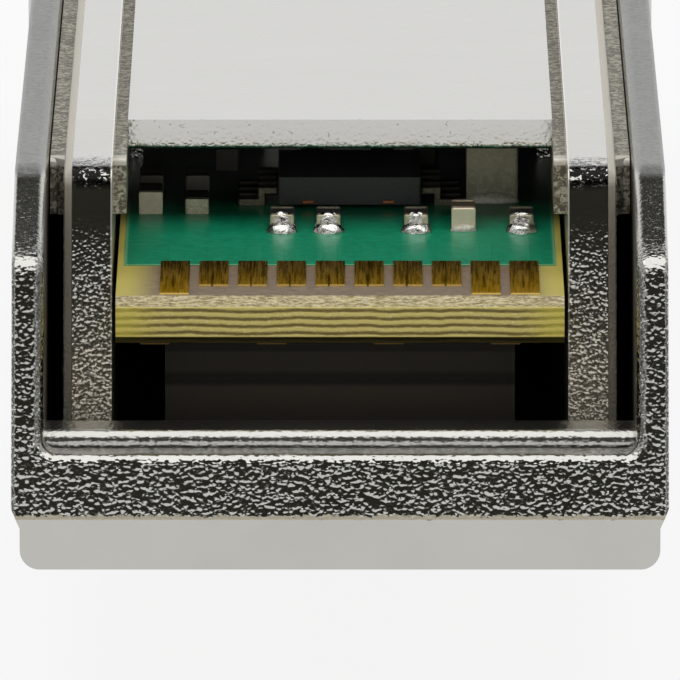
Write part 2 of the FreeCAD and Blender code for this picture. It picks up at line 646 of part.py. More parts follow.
# board with its card edge
board = new_body("circuit_board")
slab(board, "BoardOutline", "YZ", (
    ("board_rear", "board_under + bevel_height"),
    ("board_rear + bevel_run", "board_under"),
    ("board_end", "board_under"),
    ("board_end", "board_top"),
    ("board_rear + bevel_run", "board_top"),
    ("board_rear", "board_top - bevel_height"),
), "0", "board_width")
disc(board, "PostPassage", "XY", ("0", "post_y"), "post_radius + post_clearance",
     "board_top", "4 * board_thickness", True)


def pad_row(label, starts, shift, low):
    """Row of ten contact pads across the board."""
    pads = []
    for place, start in enumerate(starts):
        left = f"(pad_pitch * {place - 4.5} + {shift} - pad_width / 2)"
        pads.append(box(f"{label}_{place + 1}", (left, f"board_rear + {start}", low),
                        ("pad_width", f"pad_end - {start}", "pad_thickness")))
    return gather(label, pads)


LONG = "pad_long_start"
MID = "pad_middle_start"
SHORT = "pad_short_start"
pad_row("contact_pads_upper", (LONG, SHORT, SHORT, SHORT, SHORT, SHORT, SHORT, SHORT, LONG, LONG),
        "pad_shift", "board_top")
pad_row("contact_pads_lower", (LONG, SHORT, SHORT, LONG, MID, MID, LONG, SHORT, SHORT, LONG),
        "-pad_shift", "board_under - pad_thickness")

# memory chip with gull-wing leads
memory = new_body("memory_chip")
memory_low = "board_top + memory_lift"
slab(memory, "MemoryOutline", "XY",
     rectangle("memory_shift - memory_width / 2", "memory_shift + memory_width / 2",
               "rear + memory_start", "rear + memory_start + memory_length"),
     memory_low + " + memory_height / 2", "memory_height")
leads = new_body("memory_chip_leads")
leads.AllowCompound = True
lead_mid = "board_top + memory_lift + memory_height / 2"
for side, name in (("", "Right"), ("-", "Left")):
    wall = f"memory_shift {'+' if not side else '-'} memory_width / 2"
    sign = "+" if not side else "-"
    lead = slab(leads, "Lead" + name, "XZ", (
        (wall, lead_mid),
        (f"{wall} {sign} lead_reach / 2", lead_mid),
        (f"{wall} {sign} lead_reach / 2", "board_top + lead_sheet"),
        (f"{wall} {sign} lead_reach", "board_top + lead_sheet"),
        (f"{wall} {sign} lead_reach", "board_top"),
        (f"{wall} {sign} (lead_reach / 2 - lead_sheet)", "board_top"),
        (f"{wall} {sign} (lead_reach / 2 - lead_sheet)", lead_mid + " - lead_sheet"),
        (wall, lead_mid + " - lead_sheet"),
    ), "rear + memory_start + memory_length / 2 + 1.5 * lead_pitch", "lead_width")
    rows(leads, lead, "3 * lead_pitch", 4)

# small chips: place across the board and reach of the rear terminal
RESISTORS = (
    ("-column_four", "reach_one"),
    ("-column_six", "reach_one"),
    ("column_eight", "reach_one"),
    ("column_eleven", "reach_one"),
    ("-column_two", "reach_two"),
    ("column_seven", "reach_six"),
    ("column_nine", "reach_six"),
)
CAPACITORS = (
    ("column_ten", "reach_one"),
    ("-column_one", "reach_two"),
    ("-column_one", "reach_four"),
    ("-column_two", "reach_four"),
    ("-column_three", "reach_five"),
    ("-column_five", "reach_six"),
)


def chips(kind, places, height):
    """Chips of one kind, each a body between two terminals."""
    bodies = []
    ends = []
    for place, (across, reach) in enumerate(places, start=1):
        left = f"({across} * board_width / layout_width - chip_width / 2)"
        start = f"rear + {reach}"
        bodies.append(box(f"{kind}_{place}", (left, start + " + terminal_length", "board_top"),
                          ("chip_width", "chip_length - 2 * terminal_length", height)))
        for end, offset in (("a", "0"), ("b", "chip_length - terminal_length")):
            ends.append(box(f"{kind}_{place}_{end}", (left, f"{start} + {offset}", "board_top"),
                            ("chip_width", "terminal_length", height)))
    gather(f"chip_{kind}s", bodies)
    gather(f"{kind}_terminals", ends)


chips("resistor", RESISTORS, "resistor_height")
chips("capacitor", CAPACITORS, "capacitor_height")

bulk_start = "rear + reach_three"
bulk = box("bulk_middle", ("bulk_side", bulk_start + " + bulk_terminal", "board_top"),
           ("bulk_width", "bulk_length - 2 * bulk_terminal", "bulk_height"))
gather("bulk_capacitor", [bulk])
gather("bulk_capacitor_terminals", [
    box("bulk_near", ("bulk_side", bulk_start, "board_top"), ("bulk_width", "bulk_terminal", "bulk_height")),
    box("bulk_far", ("bulk_side", bulk_start + " + bulk_length - bulk_terminal", "board_top"),
        ("bulk_width", "bulk_terminal", "bulk_height")),
])

joints = []
for place, (across, reach) in enumerate(RESISTORS[:4], start=1):
    drop = doc.addObject("Part::Ellipsoid", f"solder_{place}")
    for key, expression in (("Radius1", "solder_height"), ("Radius2", "solder_width"),
                            ("Radius3", "solder_length"), ("Angle1", "0"), ("Angle2", "90"),
                            ("Angle3", "180"), ("Placement.Base.x", across + " * board_width / layout_width"),
                            ("Placement.Base.y", f"rear + {reach}"), ("Placement.Base.z", "board_top")):
        drop.setExpression(key, bound(expression))
    drop.Placement.Rotation = FreeCAD.Rotation(FreeCAD.Vector(0, 0, 1), 180)
    joints.append(drop)
gather("solder_joints", joints)

crystal = new_body("crystal_can")
slab(crystal, "CrystalOutline", "XY",
     rectangle("-crystal_width / 2", "crystal_width / 2",
               "rear + crystal_start", "rear + crystal_start + crystal_length"),
     "board_top + crystal_height / 2", "crystal_height")
inductor = new_body("power_inductor")
slab(inductor, "InductorOutline", "XY",
     rectangle("-inductor_size / 2", "inductor_size / 2",
               "rear + inductor_start", "rear + inductor_start + inductor_size"),
     "board_top + inductor_height / 2", "inductor_height")

# parts on the lower face
controller = new_body("controller_chip")
controller_plan = rectangle("-controller_size / 2", "controller_size / 2",
                            "rear + controller_start", "rear + controller_start + controller_size")
slab(controller, "ControllerOutline", "XY", controller_plan,
     "board_under - controller_height / 2", "controller_height")
thermal = new_body("thermal_pad")
slab(thermal, "ThermalOutline", "XY", controller_plan,
     "pedestal_top + thermal_thickness / 2", "thermal_thickness")
transformer = new_body("pulse_transformer")
slab(transformer, "TransformerOutline", "XY",
     rectangle("-transformer_width / 2", "transformer_width / 2",
               "rear + transformer_start", "rear + transformer_start + transformer_length"),
     "board_under - transformer_height / 2", "transformer_height")

# plug jack
jack = new_body("jack_housing")
slab(jack, "JackOutline", "YZ", rectangle("jack_rear", "jack_front", "head_floor", "jack_top"),
     "0", "head_width - 2 * head_wall - 2 * jack_clearance")
slab(jack, "PlugSocket", "YZ", rectangle("plug_rear", "jack_front + over", "plug_low", "plug_top"),
     "0", "plug_width", True)
slab(jack, "TabSlot", "YZ",
     rectangle("plug_rear", "jack_front + over", "plug_low - tab_height", "plug_low + over"),
     "0", "tab_width", True)
slot = slab(jack, "WireSlot", "YZ",
            rectangle("jack_rear - over", "wire_front + wire_sheet",
                      "board_top - slot_sink", "jack_top + over"),
            "-3.5 * wire_pitch", "wire_slot", True)
rows(jack, slot, "7 * wire_pitch", 8)
wires = new_body("jack_contacts")
wires.AllowCompound = True
wire = slab(wires, "WireOutline", "YZ", (
    ("board_end - wire_tail", "board_top"),
    ("wire_rise + wire_sheet", "board_top"),
    ("wire_rise + wire_sheet", "wire_low"),
    ("wire_front - wire_sheet", "wire_low"),
    ("wire_front - wire_sheet", "wire_low - wire_sheet / 2"),
    ("jack_front - wire_tip", "plug_top - wire_dip + wire_sheet"),
    ("jack_front - wire_tip", "plug_top - wire_dip"),
    ("wire_front", "wire_low - 1.6 * wire_sheet"),
    ("wire_front", "wire_high"),
    ("wire_rise", "wire_high"),
    ("wire_rise", "board_top + wire_sheet"),
    ("board_end - wire_tail", "board_top + wire_sheet"),
), "-3.5 * wire_pitch", "wire_width")
rows(wires, wire, "7 * wire_pitch", 8)

# grounding collar with spring fingers
collar = new_body("grounding_collar")
outer = "body_width / 2 + collar_sheet"
inner = "body_width / 2"
collar_top = "contact_plane - edge_radius"
slab(collar, "CollarBand", "XZ", (
    (f"-({outer})", collar_top),
    (f"-({outer})", "label_plane - collar_sheet"),
    (outer, "label_plane - collar_sheet"),
    (outer, collar_top),
    (inner, collar_top),
    (inner, "label_plane"),
    (f"-({inner})", "label_plane"),
    (f"-({inner})", collar_top),
), "collar_front - collar_band / 2", "collar_band")
under = "label_plane"
crest = "collar_front - collar_band / 2 - collar_length / 2"
finger_row = slab(collar, "LabelFinger", "YZ", (
    ("collar_front - collar_band", under),
    (crest, under + " - collar_bulge"),
    ("collar_rear", under),
    ("collar_rear", under + " - collar_sheet"),
    (crest, under + " - collar_bulge - collar_sheet"),
    ("collar_front - collar_band", under + " - collar_sheet"),
), "-2.5 * collar_pitch", "collar_finger")
rows(collar, finger_row, "5 * collar_pitch", 6)
for side, name in (("", "Right"), ("-", "Left")):
    wall = f"{side}({inner})"
    sign = "+" if not side else "-"
    flank = slab(collar, "FlankFinger" + name, "XY", (
        (wall, "collar_front - collar_band"),
        (f"{wall} {sign} collar_bulge", crest),
        (wall, "collar_rear"),
        (f"{wall} {sign} collar_sheet", "collar_rear"),
        (f"{wall} {sign} (collar_bulge + collar_sheet)", crest),
        (f"{wall} {sign} collar_sheet", "collar_front - collar_band"),
    ), "(label_plane + contact_plane) / 2 - collar_pitch", "collar_finger")
    rows(collar, flank, "2 * collar_pitch", 3)

# bail lever
bail = new_body("bail_lever")
slab(bail, "BailBar", "YZ", rectangle("bar_rear", "bar_front", "bail_bar_low", "bar_top"),
     "0", "2 * arm_mid + bail_sheet")
for side, name in (("", "Right"), ("-", "Left")):
    slab(bail, "BailArm" + name, "YZ", (
        ("pivot_y - bail_arm / 2", "bail_bar_low"),
        ("bar_front", "bail_bar_low"),
        ("bar_front", "bar_top"),
        ("pivot_y + bail_arm / 2", "bar_top"),
        ("pivot_y + bail_arm / 2", "pivot_z"),
        ("pivot_y - bail_arm / 2", "pivot_z"),
    ), side + "arm_mid", "bail_sheet")
    disc(bail, "BailEye" + name, "YZ", ("pivot_y", "pivot_z"), "bail_arm / 2",
         side + "arm_mid", "bail_sheet")
    slab(bail, "BailFinger" + name, "YZ",
         rectangle("pivot_y - bail_finger_half", "pivot_y + bail_finger_half",
                   "pivot_z", "pivot_z + bail_finger"),
         side + "arm_mid", "bail_sheet")
    disc(bail, "BailHole" + name, "YZ", ("pivot_y", "pivot_z"), "pivot_radius + pivot_clearance",
         side + "arm_mid", "2 * bail_sheet", True)

# latch slider
slider = new_body("latch_slider")
ear = "head_width / 2 - bail_inset"
slab(slider, "SliderOutline", "XY", (
    ("-slider_width / 2", "rear + tine_start"),
    ("-tine_gap", "rear + tine_start"),
    ("-tine_gap", "rear + tine_slot_end"),
    ("tine_gap", "rear + tine_slot_end"),
    ("tine_gap", "rear + tine_start"),
    ("slider_width / 2", "rear + tine_start"),
    ("slider_width / 2", "ear_rear"),
    (ear, "ear_rear"),
    (ear, "ear_front"),
    (f"-({ear})", "ear_front"),
    (f"-({ear})", "ear_rear"),
    ("-slider_width / 2", "ear_rear"),
), "pivot_z", "slider_sheet")
soften(slider, "TineTips", edges(slider, lambda b: along_x(b, "rear + tine_start", "slider_top")),
       "tine_tip", "Chamfer")


def screw(name, across, reach, top):
    """Cap screw with a drive recess."""
    parts = []
    for key, radius, height, low in (
            ("head", "screw_head_radius", "screw_head_height", f"{top} - screw_head_height"),
            ("shank", "screw_radius", "screw_grip", f"{top} - screw_head_height - screw_grip")):
        piece = doc.addObject("Part::Cylinder", f"{name}_{key}")
        piece.setExpression("Radius", bound(radius))
        piece.setExpression("Height", bound(height))
        for axis, expression in zip("xyz", (across, reach, low)):
            piece.setExpression("Placement.Base." + axis, bound(expression))
        parts.append(piece)
    joined = doc.addObject("Part::MultiFuse", f"{name}_joined")
    joined.Shapes = parts
    socket = doc.addObject("Part::Prism", f"{name}_socket")
    socket.Polygon = 6
    socket.setExpression("Circumradius", bound("socket_radius"))
    socket.setExpression("Height", bound("socket_depth + over"))
    for axis, expression in zip("xyz", (across, reach, f"{top} - socket_depth")):
        socket.setExpression("Placement.Base." + axis, bound(expression))
    finished = doc.addObject("Part::Cut", f"{name}_finished")
    finished.Base = joined
    finished.Tool = socket
    return finished


gather("housing_screws", [
    screw("middle_screw", "0", "post_y", "contact_plane"),
    screw("right_screw", "corner_screw_x", "corner_screw_y", "head_top"),
    screw("left_screw", "-corner_screw_x", "corner_screw_y", "head_top"),
])

doc.recompute()
for item in doc.Objects:
    if "Invalid" in item.State or "Error" in item.State:
        raise RuntimeError(f"{item.Name} did not build")
for node in nodes:
    if node.Shape.isNull() or not node.Shape.isValid() or not node.Shape.Solids:
        raise RuntimeError(f"{node.Label} has no valid solid")
os.makedirs("parts", exist_ok=True)
for node in nodes:
    node.Shape.exportStep(f"parts/{node.Label}.step")
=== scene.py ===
"""Looks of the copper network transceiver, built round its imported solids.

Places and sizes are in millimetres in the part's frame: x across, y from the rear mouth to the plug, z up.
"""
import math

import bpy
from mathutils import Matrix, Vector, noise as field


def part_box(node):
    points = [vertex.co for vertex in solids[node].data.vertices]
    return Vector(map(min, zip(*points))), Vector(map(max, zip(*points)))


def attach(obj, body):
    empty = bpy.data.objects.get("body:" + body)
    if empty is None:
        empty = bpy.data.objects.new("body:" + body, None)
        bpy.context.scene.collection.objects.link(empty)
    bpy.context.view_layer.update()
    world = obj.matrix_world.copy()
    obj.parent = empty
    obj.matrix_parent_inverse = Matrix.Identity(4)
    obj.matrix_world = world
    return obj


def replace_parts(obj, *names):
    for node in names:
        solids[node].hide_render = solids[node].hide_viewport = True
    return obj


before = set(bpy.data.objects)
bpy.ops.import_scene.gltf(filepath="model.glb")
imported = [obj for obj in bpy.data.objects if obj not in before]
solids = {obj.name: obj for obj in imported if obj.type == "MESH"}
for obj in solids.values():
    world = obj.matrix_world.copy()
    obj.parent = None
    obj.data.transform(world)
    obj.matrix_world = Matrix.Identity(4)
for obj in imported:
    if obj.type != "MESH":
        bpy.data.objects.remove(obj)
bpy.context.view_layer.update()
scene = bpy.context.scene
MM = 0.001

# outer half: rear face, smooth rear band, beaded sill, skirts and channel
REAR = -34.0
BAND_TOP = 5.52
BEAD_FRONT = REAR + 0.6
SILL_BACK = REAR + 2.4
BEAD_HEIGHT = (6.4, 7.2)
BEAD_HALF = 6.0
PEEL_FADE_LOW = (7.2, 7.6)
PEEL_FADE_HIGH = (10.4, 11.0)
SKIRT_CORNER = (10.3, 10.6)
SKIRT_SLOPE = (10.7, 11.45)
SKIRT_CREST = (11.5, 11.66)
CHANNEL_HALF = 6.045
CHANNEL_HEIGHT = (4.0, 11.4)
WALL_FADE = (6.2, 6.7)
WALL_GROOVE = (6.40, 6.55)

# inner half, across: webs, rims, chamfers and slots of the legs by their distance from the middle
LEG_INNER = 4.40
LEG_WEB = (4.43, 4.69)
LEG_RIM = (4.70, 4.725)
LEG_CHAMFER = (5.54, 5.67)
SLOT_START = 5.68

# inner half, upward and lengthwise: legs, webs and cross bar
LEG_FOOT = (10.0, 7.4)
LEG_PEEL_FADE = (9.5, 10.9)
LEG_RIM_FADE = (7.0, 10.5)
LEG_CREST = (11.15, 11.35)
LEG_TOP = 11.45
CREST_START = (-26.5, -27.1)
PITS_GROW = (-26.7, -28.0)
WEB_HEIGHT = (10.2, 11.42)
WEB_EDGE = (11.27, 11.40)
WEB_EDGE_START = (-25.4, -25.6)
BAR_FACE = -23.15
BAR_EDGE = 11.13

# board, its pads, its mask and the chips on it
CARD_EDGE = -30.8
BOARD_TOP = 9.45
BOARD_UNDER = 8.45
BOARD_HALF = 4.6
BOARD_LAYER = 0.155
PAD_PITCH = 0.8
PAD_SHIFT = 0.2
MASK_EDGE = -27.45
MASK_END = 15.0
MASK_INSET = 0.13
MASK_THICKNESS = 0.025
MASK_SHADE = (-21.7, -20.3)
TRACK_END = MASK_EDGE + 2.1
YELLOW_FLANK = (3.6, 4.5)
DRAG_START = CARD_EDGE + 0.9
DRAG_END = CARD_EDGE + 2.6
CHIP_ROW = -23.85
JOINT_COLUMNS = (-1.21, -0.24, 1.59, 3.79)
CAPACITOR_COLUMN = 2.58
BULK_COLUMN = 3.2
BULK_FOOT = -20.8
# places along the board from which tin is given painted shade
CHIP_SHADE_START = -21.8
LEAD_SHADE_START = -20.75
SHADE_BEYOND_PARTS = -18.0
TIE_COLUMNS = (-0.67, 1.02)
TIE_HALF = 0.12
TIE_PROUD = 0.02
TIE_HEIGHT = (0.03, 0.10)

# range that holds most of a cloudy pattern
CLOUD = (0.3, 0.7)

# rounded heaps of solder: their shape, and how far they reach across, along and up
HEAP_SIDES = 28
HEAP_RINGS = 9
HEAP_FLARE = 0.8
HEAP_FULLNESS = 0.9
HEAP_UNEVEN = 0.10
HEAP_BUMPS = 2.1
TERMINAL_HEAP = (0.29, 0.19, 0.40)
TERMINAL_SHIFT = 0.12
FILLET_HEAP = (0.33, 0.30, 0.23)
FILLET_SHIFT = -0.15
BULK_FILLET = (0.56, 0.20, 0.24)
CAPACITOR_FILLET = (0.27, 0.15, 0.15)

# small radii that moulded, stamped and plated pieces have
RIM_RADII = {
    "memory_chip": 0.04,
    "memory_chip_leads": 0.03,
    "chip_resistors": 0.02,
    "resistor_terminals": 0.04,
    "chip_capacitors": 0.03,
    "capacitor_terminals": 0.04,
    "bulk_capacitor": 0.05,
    "bulk_capacitor_terminals": 0.06,
    "bail_lever": 0.08,
    "latch_slider": 0.05,
    "jack_housing": 0.08,
}
RIM_ANGLE = math.radians(40)
WELD_REACH = 0.001

# photograph: its width and scale, and the camera's aim, distance and height over the board
PICTURE_PIXELS = 680
PIXELS_PER_MM = 48.8
CAMERA_AIM = (0.0, -30.8, 8.58)
CAMERA_DISTANCE = 350.0
CAMERA_LIFT = math.radians(11.7)
SENSOR = 36.0


def put(tree, kind, values=None, **settings):
    """Shader node with its settings, and its inputs set or linked."""
    node = tree.nodes.new("ShaderNode" + kind)
    for key, value in settings.items():
        setattr(node, key, value)
    for key, value in (values or {}).items():
        if isinstance(value, bpy.types.NodeSocket):
            tree.links.new(value, node.inputs[key])
        else:
            node.inputs[key].default_value = value
    return node


def calc(tree, operation, first, second=0.0, third=0.0):
    """Arithmetic on one to three numbers."""
    return put(tree, "Math", {0: first, 1: second, 2: third}, operation=operation).outputs[0]


def times(tree, first, *others):
    """Product of several numbers."""
    for other in others:
        first = calc(tree, "MULTIPLY", first, other)
    return first


def most(tree, first, *others):
    """Largest of several numbers."""
    for other in others:
        first = calc(tree, "MAXIMUM", first, other)
    return first


def raised(tree, share, amount, start):
    """A start value, raised by a share of an amount."""
    return calc(tree, "MULTIPLY_ADD", share, amount, start)


def ramp(tree, value, start, end, low=0.0, high=1.0):
    """Smooth change from low to high as a value goes from start to end."""
    if start > end:
        start, end, low, high = end, start, high, low
    values = {"Value": value, "From Min": start, "From Max": end, "To Min": low, "To Max": high}
    return put(tree, "MapRange", values, interpolation_type="SMOOTHSTEP").outputs[0]


def step(tree, place, start, end, low=0.0, high=1.0):
    """Smooth change between two places."""
    return ramp(tree, place, start * MM, end * MM, low, high)


def between(tree, place, low, high, soft):
    """One between two places, and nought outside them and their soft borders."""
    return times(tree, step(tree, place, low - soft, low), step(tree, place, high + soft, high))


def blend(tree, share, first, second):
    """Colour between two colours."""
    return put(tree, "Mix", {0: share, 6: first, 7: second}, data_type="RGBA").outputs[2]


def colour(red, green, blue):
    """Linear colour of a display colour given from 0 to 255."""
    def linear(value):
        value = value / 255
        return value / 12.92 if value <= 0.04045 else ((value + 0.055) / 1.055) ** 2.4
    return (linear(red), linear(green), linear(blue), 1.0)


def paint(name, **constants):
    """Material with its shader constants, and the place on the part as coordinates."""
    material = bpy.data.materials.new(name)
    material.use_nodes = True
    tree = material.node_tree
    shader = tree.nodes["Principled BSDF"]
    for key, value in constants.items():
        shader.inputs[key.replace("_", " ").title()].default_value = value
    spot = put(tree, "TexCoord").outputs["Object"]
    return material, tree, shader, spot


def noise(tree, spot, scale, detail=2.0, rough=0.5, twist=0.0):
    """Cloudy pattern, scale in features per metre."""
    values = {"Vector": spot, "Scale": scale, "Detail": detail, "Roughness": rough, "Distortion": twist}
    return put(tree, "TexNoise", values).outputs["Fac"]


def stretched(tree, spot, x, y, z):
    """Coordinates drawn out along the axes."""
    return put(tree, "VectorMath", {0: spot, 1: (x, y, z)}, operation="MULTIPLY").outputs[0]


def axes(tree, vector):
    """Three coordinates of a place or a direction."""
    return put(tree, "SeparateXYZ", {0: vector}).outputs


def facing(tree):
    """Three coordinates of the direction that a face looks in."""
    return axes(tree, put(tree, "TexCoord").outputs["Normal"])


def relief(tree, shader, height, depth):
    """Bump from a height pattern."""
    bump = put(tree, "Bump", {"Height": height, "Distance": depth * MM})
    tree.links.new(bump.outputs[0], shader.inputs["Normal"])


def wear(material, *members):
    """Give a material to nodes of the part."""
    for member in members:
        slots = solids[member].data.materials
        slots.clear()
        slots.append(material)


class Casting:
    """Nickel-plated casting with an orange-peel skin, which is then changed face by face."""

    def __init__(self, name, cells_per_metre):
        self.material, self.tree, self.shader, self.spot = paint(name)
        tree = self.tree
        x, self.y, self.z = axes(tree, self.spot)
        self.side = calc(tree, "ABSOLUTE", x)
        drawn = stretched(tree, self.spot, 0.85, 1.0, 1.0)
        self.height = self.peel(drawn, cells_per_metre)
        flake = noise(tree, drawn, 9000.0, rough=0.6, twist=1.0)
        self.flake = calc(tree, "SUBTRACT", flake, 0.5)
        cloud = noise(tree, self.spot, 420.0, detail=3.0, rough=0.6)
        dark_nickel = (0.495, 0.488, 0.460, 1)
        light_nickel = (0.525, 0.517, 0.490, 1)
        self.tone = blend(tree, ramp(tree, cloud, 0.3, 0.75), dark_nickel, light_nickel)
        self.rough = ramp(tree, cloud, 0.3, 0.75, 0.115, 0.14)

    def peel(self, drawn, cells_per_metre):
        """Height of the orange peel: swayed round cells on a gentle swell."""
        tree = self.tree
        sway = put(tree, "TexNoise", {"Vector": drawn, "Scale": 6000.0, "Detail": 1.0}).outputs["Color"]
        reach = (0.09 * MM,) * 3
        swayed = put(tree, "VectorMath", {0: sway, 1: reach, 2: drawn}, operation="MULTIPLY_ADD").outputs[0]
        cell_values = {"Vector": swayed, "Scale": cells_per_metre, "Smoothness": 0.6}
        cells = put(tree, "TexVoronoi", cell_values, feature="SMOOTH_F1").outputs["Distance"]
        swell = noise(tree, drawn, 5200.0, detail=1.0, twist=0.4)
        return calc(tree, "SUBTRACT", times(tree, swell, 0.8), times(tree, cells, 1.5))

    def cover(self, share, tone, rougher=0.0):
        """Lay a tone over a share of the skin, and roughen it there."""
        self.tone = blend(self.tree, share, self.tone, tone)
        if rougher:
            self.roughen(share, rougher)

    def roughen(self, share, rougher):
        """Make a share of the skin rougher."""
        self.rough = raised(self.tree, share, rougher, self.rough)

    def finish(self, matt, loss):
        """Link the skin to its shader, less metallic where it is matt."""
        relief(self.tree, self.shader, self.height, 0.015)
        links = self.tree.links
        links.new(self.tone, self.shader.inputs["Base Color"])
        links.new(self.rough, self.shader.inputs["Roughness"])
        links.new(raised(self.tree, matt, -loss, 1.0), self.shader.inputs["Metallic"])
        return self.material


# outer half of the casting
def mouth_skin(cast):
    """Peel of the mouth: strong on the rear face, weak on the bead and the crests, and off the rear band."""
    tree, y, z = cast.tree, cast.y, cast.z
    above_band = step(tree, z, BAND_TOP - 0.05, BAND_TOP + 0.02)
    behind_face = step(tree, y, REAR + 0.5, REAR + 1.0)
    bead = times(tree, between(tree, y, BEAD_FRONT, SILL_BACK, 0.2), between(tree, z, *BEAD_HEIGHT, 0.1),
                 step(tree, cast.side, BEAD_HALF + 0.1, BEAD_HALF))
    skin = times(tree, most(tree, above_band, behind_face), raised(tree, bead, -0.6, 1.0),
                 step(tree, z, *PEEL_FADE_LOW, 0.92, 0.76), step(tree, z, *PEEL_FADE_HIGH, 1.0, 0.3))
    cast.height = times(tree, cast.height, most(tree, skin, 0.04))
    cast.roughen(bead, 0.12)


def skirt_crests(cast):
    """Flakes on the corner, the slope and the matt crest of the skirts."""
    tree, z = cast.tree, cast.z
    corner = between(tree, z, *SKIRT_CORNER, 0.15)
    slope = between(tree, z, *SKIRT_SLOPE, 0.15)
    crest = step(tree, z, *SKIRT_CREST)
    broken = raised(tree, slope, 0.44, raised(tree, corner, 0.9, times(tree, crest, 0.8)))
    cast.height = raised(tree, cast.flake, broken, cast.height)
    cast.roughen(slope, 0.06)
    ripple = blend(tree, ramp(tree, cast.flake, -0.15, 0.15), (0.31, 0.31, 0.305, 1), (0.41, 0.41, 0.405, 1))
    cast.cover(crest, ripple, rougher=0.3)


def channel(cast):
    """Smooth dull inside of the channel, painted dark brown as painted shade, darker up the wall and darkest
    along a groove of painted shade on its back wall. Gives where it is.
    """
    tree, z = cast.tree, cast.z
    # painted shade: browns for the dark inside of the channel, darker higher up and in the groove
    lower_wall_shade = (0.172, 0.150, 0.118, 1)
    upper_wall_shade = (0.105, 0.092, 0.070, 1)
    groove_shade = (0.055, 0.049, 0.037, 1)
    inside = times(tree, step(tree, cast.y, SILL_BACK, SILL_BACK + 0.2),
                   between(tree, z, *CHANNEL_HEIGHT, 0.1),
                   step(tree, cast.side, CHANNEL_HALF + 0.04, CHANNEL_HALF))
    wall = blend(tree, step(tree, z, *WALL_FADE), lower_wall_shade, upper_wall_shade)
    wall = blend(tree, between(tree, z, *WALL_GROOVE, 0.12), wall, groove_shade)
    cast.cover(inside, wall, rougher=0.4)
    cast.height = times(tree, cast.height, raised(tree, inside, -0.9, 1.0))
    return inside


def pale_seam_line(cast):
    """Pale ragged line along the top of the rear band. Gives where it is."""
    tree = cast.tree
    ragged = raised(tree, cast.flake, 0.2 * MM, cast.z)
    seam = times(tree, step(tree, ragged, BAND_TOP + 0.08, BAND_TOP + 0.05),
                 step(tree, cast.z, BAND_TOP - 0.02, BAND_TOP - 0.01),
                 step(tree, cast.y, REAR + 0.15, REAR + 0.1))
    # a pale, rougher, less metallic ragged line along the top of the rear band
    cast.cover(seam, (0.60, 0.55, 0.43, 1), rougher=0.3)
    return seam


def nickel_outer():
    """Outer half, with the rear mouth's skirts, sill and band."""
    cast = Casting("nickel_outer", 11500.0)
    mouth_skin(cast)
    skirt_crests(cast)
    inside = channel(cast)
    seam = pale_seam_line(cast)
    return cast.finish(most(cast.tree, inside, seam), 0.7)


# inner half of the casting
def broken_crests(cast, middle):
    """Pitted flakes on the rear crests of the legs and along the lower edge of the bar."""
    tree, y, z = cast.tree, cast.y, cast.z
    cast.height = times(tree, cast.height, step(tree, z, *LEG_PEEL_FADE, 0.8, 0.09))
    crest = times(tree, step(tree, z, *LEG_CREST), step(tree, y, *CREST_START))
    edge = times(tree, between(tree, z, BAR_EDGE - 0.04, BAR_EDGE + 0.04, 0.04),
                 between(tree, y, BAR_FACE - 0.05, BAR_FACE + 0.15, 0.1), middle)
    broken = most(tree, crest, edge)
    cast.height = raised(tree, cast.flake, times(tree, broken, 1.2), cast.height)
    depth = calc(tree, "SUBTRACT", step(tree, y, *PITS_GROW, -0.12, 0.09), cast.flake)
    pits = times(tree, ramp(tree, depth, -0.015, 0.015), broken)
    cast.cover(pits, (0.012, 0.011, 0.010, 1))


def leg_sides_painted_light(cast):
    """Painted light on the legs: warm feet as a painted warm reflection, pale outer chamfers as a painted
    reflection, and thin bright inner rims as a painted highlight. Gives where they are matt.
    """
    tree, z = cast.tree, cast.z
    # painted reflection: warm tone on the lower legs
    warm_foot_reflection = step(tree, z, *LEG_FOOT)
    cast.cover(warm_foot_reflection, (0.56, 0.51, 0.42, 1), rougher=0.12)
    # painted reflection: pale cream tone on the outer chamfers of the legs
    chamfer_reflection = between(tree, cast.side, *LEG_CHAMFER, 0.02)
    cast.cover(chamfer_reflection, (0.70, 0.65, 0.54, 1), rougher=0.25)
    # painted highlight: thin bright line along the inner rims of the legs
    rim = times(tree, between(tree, cast.side, *LEG_RIM, 0.008), step(tree, z, *LEG_RIM_FADE, 0.35, 1.0))
    cast.cover(rim, (0.80, 0.76, 0.67, 1))
    return most(tree, chamfer_reflection, rim)


def cross_bar(cast, middle):
    """Speckled face of the bar, painted a little lighter as painted light, and the dark ragged painted shade
    below it. Gives where it is matt.
    """
    tree, y = cast.tree, cast.y
    face = times(tree, between(tree, y, BAR_FACE - 0.05, BAR_FACE + 0.05, 0.05), middle)
    # painted light: the bar's face a little lighter than the rest of the casting
    cast.cover(face, (0.565, 0.56, 0.535, 1))
    grain = noise(tree, cast.spot, 6000.0, rough=0.6)
    specks = times(tree, face, ramp(tree, grain, 0.66, 0.70, 0.0, 0.5))
    cast.cover(specks, (0.22, 0.20, 0.16, 1))
    ragged = raised(tree, cast.flake, 0.1 * MM, cast.z)
    shade = times(tree, step(tree, ragged, BAR_EDGE + 0.02, BAR_EDGE - 0.02),
                  between(tree, y, BAR_FACE - 0.05, BAR_FACE + 0.65, 0.05), middle)
    cast.cover(shade, (0.03, 0.028, 0.022, 1))
    return shade


